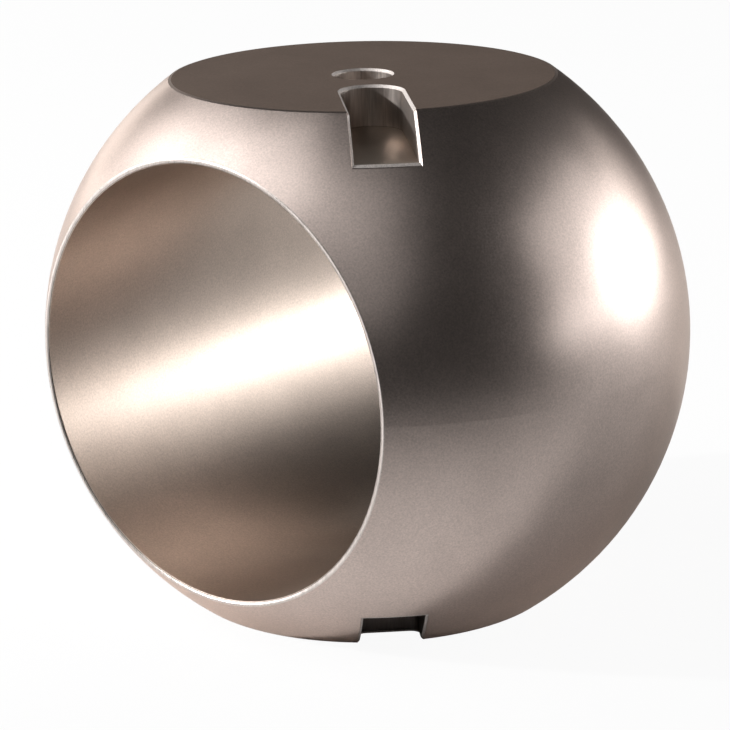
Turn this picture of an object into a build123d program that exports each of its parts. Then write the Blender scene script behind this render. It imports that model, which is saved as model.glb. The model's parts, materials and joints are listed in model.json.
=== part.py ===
from build123d import *
import os
from math import asin, cos, radians, sin, sqrt

# Valve ball: the full-bore ball of a quarter-turn ball valve, turned and milled from one piece.
# Millimetres, +Z up along the stem, the bore along Y, and the origin at the centre of the sphere.

# The turned ball
ball_d = 152.0
bore_d = 100.0
mouth_land = 0.95
mouth_break = 0.25

# The two flats that are milled square to the stem, above and below the bore
crown_wall = 11.5
rim_break = 0.4

# The drive slot in the top flat, turned from the near bore mouth (-Y) towards +X
slot_angle = 45.0
slot_w = 14.0
slot_start = 14.0
slot_floor_wall = 2.0
slot_chamfer = 0.6

# The shorter locating notch under the slot, at the edge of the bottom flat
notch_run = 5.7
notch_depth = 10.5
notch_corner_r = 2.0

# The blind centring hole in the middle of the top flat
hole_d = 13.5
hole_depth = 8.0
hole_chamfer = 0.5

# Sphere, mouths and flats
ball_r = ball_d / 2
bore_r = bore_d / 2
break_r = bore_r + mouth_break
land_r = break_r + mouth_land
mouth_y = sqrt(ball_r**2 - land_r**2)
flat_z = bore_r + crown_wall
rim_r = sqrt(ball_r**2 - flat_z**2)
break_angle = asin(rim_r / ball_r) + rim_break / ball_r

# Direction, sides, floor and end of the slot, and of the notch in line with it
outward = Vector(sin(radians(slot_angle)), -cos(radians(slot_angle)), 0)
sideways = Vector(cos(radians(slot_angle)), sin(radians(slot_angle)), 0)
slot_side = slot_w / 2
slot_end = slot_start + slot_side
slot_floor_z = bore_r + slot_floor_wall
notch_roof_z = flat_z - notch_depth
notch_start = rim_r - notch_run
flare_w = slot_w + 2 * slot_chamfer

top_face = Plane(origin=(0, 0, flat_z), x_dir=outward, z_dir=(0, 0, 1))
bottom_face = Plane(origin=(0, 0, -flat_z), x_dir=outward, z_dir=(0, 0, -1))
across_slot = Plane(origin=(0, 0, 0), x_dir=sideways, z_dir=outward)


def flared_wall(offset, growth):
    # A wall this far from the centre of the sphere and square to a radius of it: where its chamfer starts,
    # one chamfer under the surface, and a point on the chamfer's slope that is well outside the surface
    foot = sqrt(ball_r**2 - offset**2) - slot_chamfer
    lip = sqrt(ball_r**2 - (offset + growth)**2)
    return (offset, foot), (offset + 2 * growth, 2 * lip - foot)


# The space between the two sides of the slot, flared where the sides come out through the sphere
with BuildPart() as between_sides:
    with BuildSketch(across_slot):
        side_foot, side_lip = flared_wall(slot_side, slot_chamfer)
        with BuildLine():
            Polyline((0, 0), (slot_side, 0), side_foot, side_lip, (0, side_lip[1]))
            mirror(about=Plane.YZ)
        make_face()
    revolve(axis=Axis((0, 0, 0), sideways))

# The drive slot's space: a level floor, a full-radius end near the centre, and open through the ball's side
with BuildPart() as drive_slot:
    with BuildSketch(Plane.XZ):
        (floor_z, floor_reach), (floor_lip_z, floor_lip_reach) = flared_wall(slot_floor_z, -slot_chamfer)
        with BuildLine():
            Polyline(
                (0, floor_z),
                (floor_reach, floor_z),
                (floor_lip_reach, floor_lip_z),
                (floor_lip_reach, flat_z),
                (0, flat_z),
                close=True,
            )
        make_face()
    revolve(axis=Axis.Z)
    with BuildSketch(top_face):
        with Locations((slot_end, 0)):
            Circle(slot_side)
            Rectangle(ball_r, ball_d, align=(Align.MIN, Align.CENTER))
    extrude(amount=-flat_z, mode=Mode.INTERSECT)
    add(between_sides.part, mode=Mode.INTERSECT)
    with BuildSketch(top_face):
        with Locations((slot_end, 0)):
            Circle(flare_w / 2)
            Rectangle(ball_r, flare_w, align=(Align.MIN, Align.CENTER))
    extrude(amount=-slot_chamfer, taper=45)

# The locating notch's space: the same sides, a level roof, and a nearly square end close to the rim
with BuildPart() as locating_notch:
    with BuildSketch(Plane.XZ):
        (roof_z, roof_reach), (roof_lip_z, roof_lip_reach) = flared_wall(notch_roof_z, -slot_chamfer)
        with BuildLine():
            Polyline(
                (0, -roof_z),
                (roof_reach, -roof_z),
                (roof_lip_reach, -roof_lip_z),
                (roof_lip_reach, -flat_z),
                (0, -flat_z),
                close=True,
            )
        make_face()
    revolve(axis=Axis.Z)
    with BuildSketch(bottom_face):
        with Locations((notch_start, 0)):
            Rectangle(ball_r, ball_d, align=(Align.MIN, Align.CENTER))
    extrude(amount=-flat_z, mode=Mode.INTERSECT)
    add(between_sides.part, mode=Mode.INTERSECT)
    fillet(locating_notch.edges().filter_by(Axis.Z), notch_corner_r)
    with BuildSketch(bottom_face) as notch_mouth:
        with Locations((notch_start - slot_chamfer, 0)):
            Rectangle(ball_r, flare_w, align=(Align.MIN, Align.CENTER))
        fillet(notch_mouth.vertices().group_by(Axis.X)[0], notch_corner_r + slot_chamfer)
    extrude(amount=-slot_chamfer, taper=45)

with BuildPart() as valve_ball:
    # Sphere, bore, mouth lands and their edge breaks are one turned section about the bore axis
    with BuildSketch(Plane.XY):
        with BuildLine():
            Polyline(
                (land_r, mouth_y),
                (break_r, mouth_y),
                (bore_r, mouth_y - mouth_break),
                (bore_r, mouth_break - mouth_y),
                (break_r, -mouth_y),
                (land_r, -mouth_y),
            )
            ThreePointArc((land_r, -mouth_y), (ball_r, 0), (land_r, mouth_y))
        make_face()
    revolve(axis=Axis.Y)

    # Both flats
    split(bisect_by=Plane.XY.offset(flat_z), keep=Keep.BOTTOM)
    split(bisect_by=Plane.XY.offset(-flat_z), keep=Keep.TOP)

    # Each flat's rim is turned down a little, so that neither the flat nor the sphere ends sharp
    with BuildSketch(Plane.XZ):
        with BuildLine():
            Polyline(
                (rim_r - rim_break, flat_z),
                (ball_r * sin(break_angle), ball_r * cos(break_angle)),
                (ball_r, flat_z),
                close=True,
            )
        make_face()
        mirror(about=Plane.XZ)
    revolve(axis=Axis.Z, mode=Mode.SUBTRACT)

    # Slot and notch
    add(drive_slot.part, mode=Mode.SUBTRACT)
    add(locating_notch.part, mode=Mode.SUBTRACT)

    # Centring hole: flat-bottomed, because the bore passes close below it
    with Locations(top_face):
        Hole(hole_d / 2, depth=hole_depth)
    hole_edges = valve_ball.edges(Select.LAST).filter_by(GeomType.CIRCLE).sort_by(Axis.Z)
    chamfer(hole_edges[-1], hole_chamfer)

valve_ball.part.label = "valve_ball"

os.makedirs("parts", exist_ok=True)
export_step(valve_ball.part, "parts/valve_ball.step")

print(f"length over the mouths {2 * mouth_y:.2f}, height over the flats {2 * flat_z:.2f}")
print(f"volume {valve_ball.part.volume / 1000:.1f} cm3, flat rim radius {rim_r:.2f}")
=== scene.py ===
import bmesh
import bpy
import json
from math import cos, radians, sin
from mathutils import Matrix, Vector


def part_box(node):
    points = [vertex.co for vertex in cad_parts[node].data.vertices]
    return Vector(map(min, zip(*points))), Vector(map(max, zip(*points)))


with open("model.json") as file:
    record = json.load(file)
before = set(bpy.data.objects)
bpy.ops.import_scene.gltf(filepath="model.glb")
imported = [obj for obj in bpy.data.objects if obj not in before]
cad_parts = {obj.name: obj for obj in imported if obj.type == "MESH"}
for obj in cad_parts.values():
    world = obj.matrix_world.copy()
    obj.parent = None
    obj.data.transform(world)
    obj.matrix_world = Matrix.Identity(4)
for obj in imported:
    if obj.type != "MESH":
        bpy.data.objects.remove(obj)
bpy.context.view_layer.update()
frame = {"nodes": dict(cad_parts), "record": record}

# The valve ball: one piece of stainless steel, turned round its bore, then milled. Its sphere is a fine
# blasted satin, the bore is darker and duller, and the flats are duller and darker still, partly as
# painted shade. The slot, the hole and the notch keep their milling marks, their chamfers are bright,
# and the mouths' lands are rolled over. The notch is painted near black and the slot's floor dark, as
# painted shade.
mounts = {mount["name"]: mount for mount in frame["record"]["mounts"]}
bore_r = mounts["flow_bore"]["dims"]["r_mm"] / 1000
flat_z = mounts["top_flat"]["pos_m"][2]
slot_floor_z = 2 * mounts["drive_slot"]["pos_m"][2] - flat_z
ball_low, ball_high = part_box("valve_ball")
ball_r, mouth_y = ball_high[0], ball_high[1]

# How far a facet can lie from the curved or the flat face that it stands for
curved_step = 0.0001
flat_step = 0.00001

chamfer_reach = 0.00065
land_start = 0.00025
land_width = 0.00095
land_crest = 0.0006
land_roll_r = 0.0006

# The slot's floor, and whatever else is cut as deep, is painted darker than the cut walls: its cut finish
# with painted shade for the bottom of the recess.
cut_floor_and_shade_colour, floor_cut_rough = (0.34, 0.29, 0.25, 1), 0.4
wall_cut_colour, wall_cut_rough = (0.54, 0.48, 0.44, 1), 0.38
# The notch's near-black colour is painted shade inside the notch; its roughness is the cut finish.
notch_painted_shade_colour, notch_cut_rough = (0.13, 0.11, 0.10, 1), 0.45
chamfer_colour, chamfer_rough = (0.70, 0.65, 0.62, 1), 0.65
sphere_colour, sphere_rough = (0.61, 0.51, 0.465, 1), 0.33
land_colour, land_rough = (0.70, 0.63, 0.59, 1), 0.3
# The flats' colour is their duller finish, darkened further with painted shade.
flat_finish_and_shade_colour, flat_rough = (0.26, 0.20, 0.168, 1), 0.6
bore_colour, bore_rough = (0.55, 0.462, 0.402, 1), 0.385
grazing_tint = (0.76, 0.70, 0.65, 1)

# Scale, detail and roughness of the noise behind each mark
blast_noise = (2300, 3, 0.6)
cloud_noise = (60, 4, 0.55)
milling_noise = (3000, 2, 0.5)
milling_stretch = (1.0, 1.0, 0.06)
noise_low, noise_high = 0.3, 0.7
speck_share = 0.15
cloud_share = 0.06
rough_share = 0.03
mark_depth = 0.00002
mark_strength = 0.32


class Recipe:
    """Adds shader nodes to one tree and joins them up, so that each finish below reads as a recipe."""

    def __init__(self, tree):
        self.tree = tree
        self.tree.nodes.clear()

    def add(self, kind, inputs=None, **settings):
        node = self.tree.nodes.new(kind)
        for key, value in settings.items():
            setattr(node, key, value)
        for key, value in (inputs or {}).items():
            if isinstance(value, bpy.types.NodeSocket):
                self.tree.links.new(value, node.inputs[key])
            else:
                node.inputs[key].default_value = value
        return node

    def place(self):
        return self.add("ShaderNodeTexCoord").outputs["Object"]

    def work_out(self, operation, *values):
        return self.add("ShaderNodeMath", dict(enumerate(values)), operation=operation).outputs[0]

    def mix_colour(self, amount, first, second):
        return self.add("ShaderNodeMix", {0: amount, 6: first, 7: second}, data_type="RGBA").outputs[2]

    def mix_value(self, amount, first, second):
        return self.add("ShaderNodeMix", {0: amount, 2: first, 3: second}, data_type="FLOAT").outputs[0]

    def grain(self, place, scale, detail, roughness):
        return self.add("ShaderNodeTexNoise", {
            "Vector": place, "Scale": scale, "Detail": detail, "Roughness": roughness}).outputs["Fac"]

    def spread(self, value, low, high, to_low, to_high):
        return self.add("ShaderNodeMapRange", {0: value, 1: low, 2: high, 3: to_low, 4: to_high}).outputs[0]


def ball_steel():
    material = bpy.data.materials.new("ball_steel")
    material.use_nodes = True
    steel = Recipe(material.node_tree)
    place = steel.place()
    x, y, z = steel.add("ShaderNodeSeparateXYZ", {0: place}).outputs
    height = steel.work_out("ABSOLUTE", z)
    along_bore = steel.work_out("ABSOLUTE", y)
    x_squared = steel.work_out("MULTIPLY", x, x)
    z_squared = steel.work_out("MULTIPLY", z, z)
    from_bore_axis = steel.work_out("SQRT", steel.work_out("ADD", x_squared, z_squared))
    from_centre = steel.add("ShaderNodeVectorMath", {0: place}, operation="LENGTH").outputs["Value"]

    # The zones of the ball, each 1 where it holds and 0 elsewhere
    near_flat = steel.work_out("GREATER_THAN", height, flat_z - chamfer_reach)
    near_sphere = steel.work_out("GREATER_THAN", from_centre, ball_r - chamfer_reach)
    on_wall = steel.work_out("GREATER_THAN", z, slot_floor_z + curved_step)
    in_notch = steel.work_out("LESS_THAN", z, 0)
    on_chamfer = steel.work_out("MAXIMUM", near_flat, near_sphere)
    on_rim = steel.work_out("MULTIPLY", near_flat, near_sphere)
    on_sphere = steel.work_out("GREATER_THAN", from_centre, ball_r - curved_step)
    on_land = steel.work_out("GREATER_THAN", along_bore, mouth_y - flat_step)
    on_flat = steel.work_out("GREATER_THAN", height, flat_z - flat_step)
    in_bore = steel.work_out("LESS_THAN", from_bore_axis, bore_r + curved_step)

    # Each zone's finish goes over those before it
    # Cut floors start darker than the walls, with painted shade in their colour
    colour, rough = cut_floor_and_shade_colour, floor_cut_rough
    for zone, zone_colour, zone_rough in (
        (on_wall, wall_cut_colour, wall_cut_rough),
        # The notch: painted shade, near black
        (in_notch, notch_painted_shade_colour, notch_cut_rough),
        (on_chamfer, chamfer_colour, chamfer_rough),
        (on_rim, sphere_colour, sphere_rough),
        (on_sphere, sphere_colour, sphere_rough),
        (on_land, land_colour, land_rough),
        # The flats: a duller finish, with painted shade in the colour
        (on_flat, flat_finish_and_shade_colour, flat_rough),
        (in_bore, bore_colour, bore_rough),
    ):
        colour = steel.mix_colour(zone, colour, zone_colour)
        rough = steel.mix_value(zone, rough, zone_rough)

    # Blasting on the outside and in the bore, milling marks down the cut walls, and faint clouds over all
    blast = steel.grain(place, *blast_noise)
    cloud = steel.grain(place, *cloud_noise)
    streaks = steel.add("ShaderNodeVectorMath", {0: place, 1: milling_stretch}, operation="MULTIPLY")
    milling = steel.grain(streaks.outputs[0], *milling_noise)
    blasted = steel.work_out("MAXIMUM", steel.work_out("MAXIMUM", on_sphere, on_flat), in_bore)
    marks = steel.mix_value(blasted, milling, blast)
    speck = steel.spread(marks, noise_low, noise_high, 1 - speck_share, 1 + speck_share)
    clouding = steel.spread(cloud, noise_low, noise_high, 1 - cloud_share, 1 + cloud_share)
    shade = steel.work_out("MULTIPLY", speck, clouding)
    colour = steel.add("ShaderNodeVectorMath", {0: colour, "Scale": shade}, operation="SCALE").outputs[0]
    rough_change = steel.spread(marks, noise_low, noise_high, -rough_share, rough_share)
    rough = steel.work_out("ADD", rough, rough_change)

    # A land falls away from its crest to both sides as an arc does, and is level elsewhere
    land_r = bore_r + land_start
    from_crest = steel.spread(
        from_bore_axis, land_r, land_r + land_width, -land_crest, land_width - land_crest)
    fall = steel.work_out("DIVIDE", steel.work_out("MULTIPLY", from_crest, from_crest), -2 * land_roll_r)
    rolled = steel.add("ShaderNodeBump", {"Height": fall, "Distance": 1.0, "Strength": 1.0}).outputs[0]
    marked = steel.add("ShaderNodeBump", {
        "Height": marks, "Distance": mark_depth, "Strength": mark_strength, "Normal": rolled}).outputs[0]

    shader = steel.add("ShaderNodeBsdfPrincipled", {
        "Base Color": colour, "Metallic": 1.0, "Roughness": rough, "Specular Tint": grazing_tint,
        "Normal": marked})
    steel.add("ShaderNodeOutputMaterial", {0: shader.outputs[0]})
    return material


ball_material = ball_steel()
for slot in frame["nodes"]["valve_ball"].material_slots:
    slot.material = ball_material


# The camera stands where the photograph was taken from: a little above the ball, to the right of
# the open bore, far enough off for a long lens. It leans by about a degree, as the photograph does.
view_azimuth = 40.07
view_elevation = 16.48
view_lean = -1.09
view_distance = 0.655
aim = Vector((0.0009, -0.0023, -0.0079))
sensor_width = 36.0
lens = 136.2
nearest_seen = 0.01


def way_to(azimuth, elevation):
    """A unit vector from the ball's centre: azimuth in degrees from the near mouth towards the right."""
    turn, lift = radians(azimuth), radians(elevation)
    return Vector((sin(turn) * cos(lift), -cos(turn) * cos(lift), sin(lift)))


towards_camera = way_to(view_azimuth, view_elevation)
to_right = way_to(view_azimuth + 90, 0)
to_top = towards_camera.cross(to_right)
camera_data = bpy.data.cameras.new("camera")
camera_data.sensor_width = sensor_width
camera_data.lens = lens
camera_data.clip_start = nearest_seen
camera = bpy.data.objects.new("camera", camera_data)
bpy.context.scene.collection.objects.link(camera)
camera.matrix_world = (
    Matrix.Translation(aim + towards_camera * view_distance)
    @ Matrix((to_right, to_top, towards_camera)).transposed().to_4x4()
    @ Matrix.Rotation(radians(view_lean), 4, "Z")
)
bpy.context.scene.camera = camera


# The studio: a sheet of pale paper under the ball whose colour is painted darker towards its front
# edge, as painted shade, soft boxes and two small lamps on stands round it, and an unlit room behind
# them. The background shows white to the camera, and faintly to polished metal too; the paper keeps
# the ball's shadow.
paper_facing = 45
paper_front = 0.41
paper_back = 1.8
paper_width = 3.0
paper_tone = 0.95
shade_start = 0.04
shade_curve = 1.5
white = (1, 1, 1, 1)
white_to_camera = 0.94
white_to_metal = 0.01
room_glow = 0.01
lamp_distance = 1.3
small_lamp_width = 0.05


def background_share(recipe, to_camera, to_metal):
    """How much of a surface, or of the room, shows as plain white to the camera and to polished metal."""
    ray = recipe.add("ShaderNodeLightPath").outputs
    polished = recipe.work_out("ADD", ray["Is Glossy Ray"], ray["Is Transmission Ray"])
    polished_share = recipe.work_out("MULTIPLY", polished, to_metal)
    return recipe.work_out("MULTIPLY_ADD", ray["Is Camera Ray"], to_camera, polished_share)


paper_turn = radians(paper_facing)
to_front = way_to(paper_facing, 0)
paper_middle = to_front * (paper_front - paper_back) / 2
paper_place = (
    Matrix.Translation((paper_middle.x, paper_middle.y, ball_low[2]))
    @ Matrix.Rotation(paper_turn, 4, "Z")
    @ Matrix.Diagonal((paper_width / 2, (paper_front + paper_back) / 2, 1, 1))
)
paper_form = bmesh.new()
bmesh.ops.create_grid(paper_form, x_segments=1, y_segments=1, size=1, matrix=paper_place)
paper_mesh = bpy.data.meshes.new("floor")
paper_form.to_mesh(paper_mesh)
paper_form.free()
floor = bpy.data.objects.new("floor", paper_mesh)
bpy.context.scene.collection.objects.link(floor)

floor_paint = bpy.data.materials.new("floor_paint")
floor_paint.use_nodes = True
paper = Recipe(floor_paint.node_tree)
towards_front = paper.add("ShaderNodeVectorMath", {
    0: paper.place(), 1: to_front}, operation="DOT_PRODUCT").outputs["Value"]
# The paper's colour is painted darker from near the ball to black at its front edge: painted shade for
# light falling off towards the front.
painted_fade = paper.work_out("POWER", paper.spread(towards_front, shade_start, paper_front, 1, 0), shade_curve)
lit = paper.add("ShaderNodeBsdfDiffuse", {"Color": paper.work_out("MULTIPLY", painted_fade, paper_tone)})
glow = paper.add("ShaderNodeEmission", {"Color": white, "Strength": 1.0})
glow_share = background_share(paper, white_to_camera, white_to_metal)
paper_look = paper.add("ShaderNodeMixShader", {0: glow_share, 1: lit.outputs[0], 2: glow.outputs[0]})
paper.add("ShaderNodeOutputMaterial", {0: paper_look.outputs[0]})
paper_mesh.materials.append(floor_paint)


def lamp(name, azimuth, elevation, tilt, power):
    light = bpy.data.lights.new(name, "AREA")
    light.energy = power
    holder = bpy.data.objects.new(name, light)
    bpy.context.scene.collection.objects.link(holder)
    way = way_to(azimuth, elevation)
    holder.matrix_world = (
        Matrix.Translation(way * lamp_distance)
        @ way.to_track_quat("Z", "Y").to_matrix().to_4x4()
        @ Matrix.Rotation(radians(tilt), 4, "Z")
    )
    return light


def small_lamp(name, azimuth, elevation, power):
    light = lamp(name, azimuth, elevation, 0, power)
    light.shape = "DISK"
    light.size = small_lamp_width


def soft_box(name, azimuth, elevation, width, height, tilt, power):
    light = lamp(name, azimuth, elevation, tilt, power)
    light.shape = "RECTANGLE"
    light.size = width
    light.size_y = height


# Azimuth and elevation in degrees, then a box's width and height in metres and its tilt, then watts
small_lamp("key_lamp", -46, 21.5, 19.0)
small_lamp("rim_lamp", 147, 8.5, 3.4)
soft_box("low_left_box", -103, 6.5, 1.05, 0.32, 0, 2.0)
soft_box("left_box", -81, 25, 0.83, 0.65, -25, 2.9)
soft_box("high_left_box", -59, 41, 0.92, 0.67, -13, 3.3)
soft_box("top_box", -29, 59, 0.8, 0.65, -31, 2.25)
soft_box("high_front_box", 16, 56.5, 1.05, 0.53, 12, 0.9)
soft_box("front_box", 33, 33.5, 0.76, 0.64, -17, 0.58)
soft_box("right_box", 133, 19.5, 1.05, 0.8, -4, 2.7)
soft_box("low_right_box", 126, 4, 1.05, 0.24, 0, 1.15)
soft_box("right_core_box", 154, 9.5, 0.68, 0.4, 10, 1.5)
soft_box("back_left_box", -131, 17, 1.0, 0.7, 0, 0.7)
soft_box("back_box", 161, 12, 0.85, 0.55, 0, 1.25)

world = bpy.data.worlds.new("room")
world.use_nodes = True
bpy.context.scene.world = world
room = Recipe(world.node_tree)
unlit_room = room.add("ShaderNodeBackground", {"Color": white, "Strength": room_glow})
white_wall = room.add("ShaderNodeBackground", {"Color": white, "Strength": 1.0})
wall_share = background_share(room, 1.0, white_to_metal)
room_look = room.add("ShaderNodeMixShader", {
    0: wall_share, 1: unlit_room.outputs[0], 2: white_wall.outputs[0]})
room.add("ShaderNodeOutputWorld", {0: room_look.outputs[0]})

bpy.context.scene.view_settings.view_transform = "Standard"
